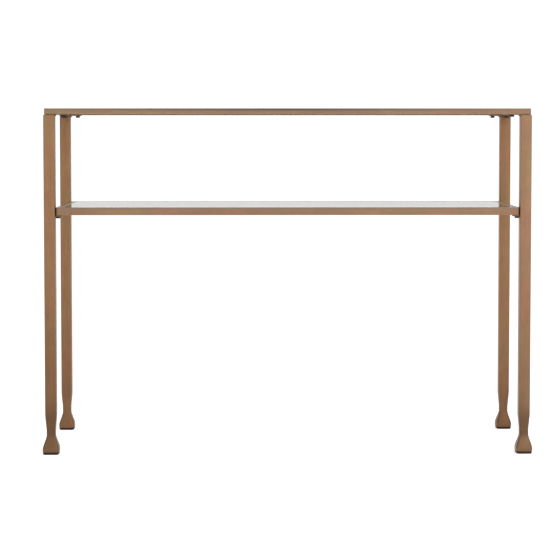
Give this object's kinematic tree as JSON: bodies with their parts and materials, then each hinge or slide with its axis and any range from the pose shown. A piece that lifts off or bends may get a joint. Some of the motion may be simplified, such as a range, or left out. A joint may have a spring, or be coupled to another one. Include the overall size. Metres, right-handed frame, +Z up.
{
  "type": "console table",
  "caption": "Slim console table: thin metal frame on square legs with necked, flared feet, drop-in glass top and lower glass shelf.",
  "frame": {"origin": "on the floor under the middle of the table", "axes": "+X along the table to the viewer's right, +Y from front to rear, +Z up"},
  "size_m": [1.1168, 0.3608, 0.787],
  "materials": {
    "bronze_paint": "satin copper-bronze powder coat",
    "clear_glass": "clear tempered glass with polished edges",
    "black_rubber": "matt moulded rubber",
    "clear_silicone": "translucent soft dots",
    "black_steel": "black oxide"
  },
  "bodies": {
    "frame": {"corner_plate_front_left": "bronze_paint", "corner_plate_front_right": "bronze_paint", "corner_plate_rear_left": "bronze_paint", "corner_plate_rear_right": "bronze_paint", "foot_pad_front_left": "black_rubber", "foot_pad_front_right": "black_rubber", "foot_pad_rear_left": "black_rubber", "foot_pad_rear_right": "black_rubber", "leg_front_left": "bronze_paint", "leg_front_right": "bronze_paint", "leg_rear_left": "bronze_paint", "leg_rear_right": "bronze_paint", "shelf_bolt_front_left": "black_steel", "shelf_bolt_front_right": "black_steel", "shelf_bolt_rear_left": "black_steel", "shelf_bolt_rear_right": "black_steel", "shelf_bumper_front_left": "clear_silicone", "shelf_bumper_front_right": "clear_silicone", "shelf_bumper_rear_left": "clear_silicone", "shelf_bumper_rear_right": "clear_silicone", "shelf_front_ledge": "bronze_paint", "shelf_front_rail": "bronze_paint", "shelf_left_ledge": "bronze_paint", "shelf_left_rail": "bronze_paint", "shelf_rear_ledge": "bronze_paint", "shelf_rear_rail": "bronze_paint", "shelf_right_ledge": "bronze_paint", "shelf_right_rail": "bronze_paint", "shelf_tab_front_left": "bronze_paint", "shelf_tab_front_right": "bronze_paint", "shelf_tab_rear_left": "bronze_paint", "shelf_tab_rear_right": "bronze_paint", "top_bolt_front_left_long": "black_steel", "top_bolt_front_left_side": "black_steel", "top_bolt_front_right_long": "black_steel", "top_bolt_front_right_side": "black_steel", "top_bolt_rear_left_long": "black_steel", "top_bolt_rear_left_side": "black_steel", "top_bolt_rear_right_long": "black_steel", "top_bolt_rear_right_side": "black_steel", "top_bumper_front_left": "clear_silicone", "top_bumper_front_right": "clear_silicone", "top_bumper_rear_left": "clear_silicone", "top_bumper_rear_right": "clear_silicone", "top_front_ledge": "bronze_paint", "top_front_rail": "bronze_paint", "top_left_ledge": "bronze_paint", "top_left_rail": "bronze_paint", "top_rear_ledge": "bronze_paint", "top_rear_rail": "bronze_paint", "top_right_ledge": "bronze_paint", "top_right_rail": "bronze_paint"},
    "top_pane": {"top_glass": "clear_glass"},
    "shelf_pane": {"shelf_glass": "clear_glass"}
  },
  "joints": [
    {"name": "top_pane_lift", "type": "slide", "parent": "frame", "child": "top_pane", "axis": [0, 0, 1], "range_m": [0, 0.12]},
    {"name": "shelf_pane_lift", "type": "slide", "parent": "frame", "child": "shelf_pane", "axis": [0, 0, 1], "range_m": [0, 0.19]}
  ]
}
